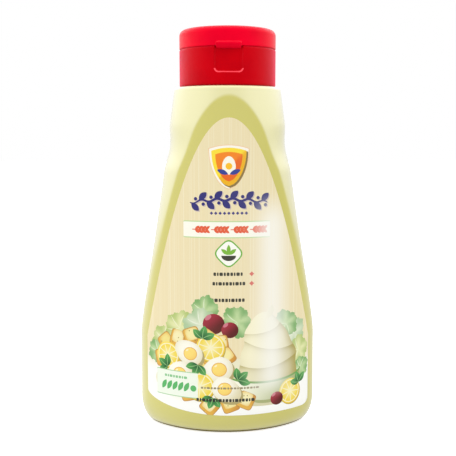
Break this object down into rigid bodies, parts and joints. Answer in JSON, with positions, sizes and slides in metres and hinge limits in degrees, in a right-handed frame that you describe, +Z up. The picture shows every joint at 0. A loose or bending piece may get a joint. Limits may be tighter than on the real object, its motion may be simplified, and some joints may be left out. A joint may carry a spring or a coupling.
{
  "type": "squeeze bottle of mayonnaise",
  "caption": "Full plastic squeeze bottle of mayonnaise, shut, with arched label panels front and back and a flip-top cap with a thumb recess.",
  "frame": {"origin": "middle of the base, on the surface that the bottle stands on", "axes": "+Z up through the cap, the front label faces -Y, +X to the right as seen from the front"},
  "size_m": [0.0906, 0.0542, 0.2009],
  "materials": {
    "bottle_plastic": "satin, pale olive yellow",
    "label_print": "printed film, satin",
    "cap_plastic": "glossy red",
    "lid_plastic": "glossy bright red"
  },
  "bodies": {
    "root": {"bottle_body": "bottle_plastic", "label_front": "label_print", "label_back": "label_print", "cap_skirt": "cap_plastic", "flip_lid": "lid_plastic", "lid_hinge": "lid_plastic"}
  },
  "joints": []
}
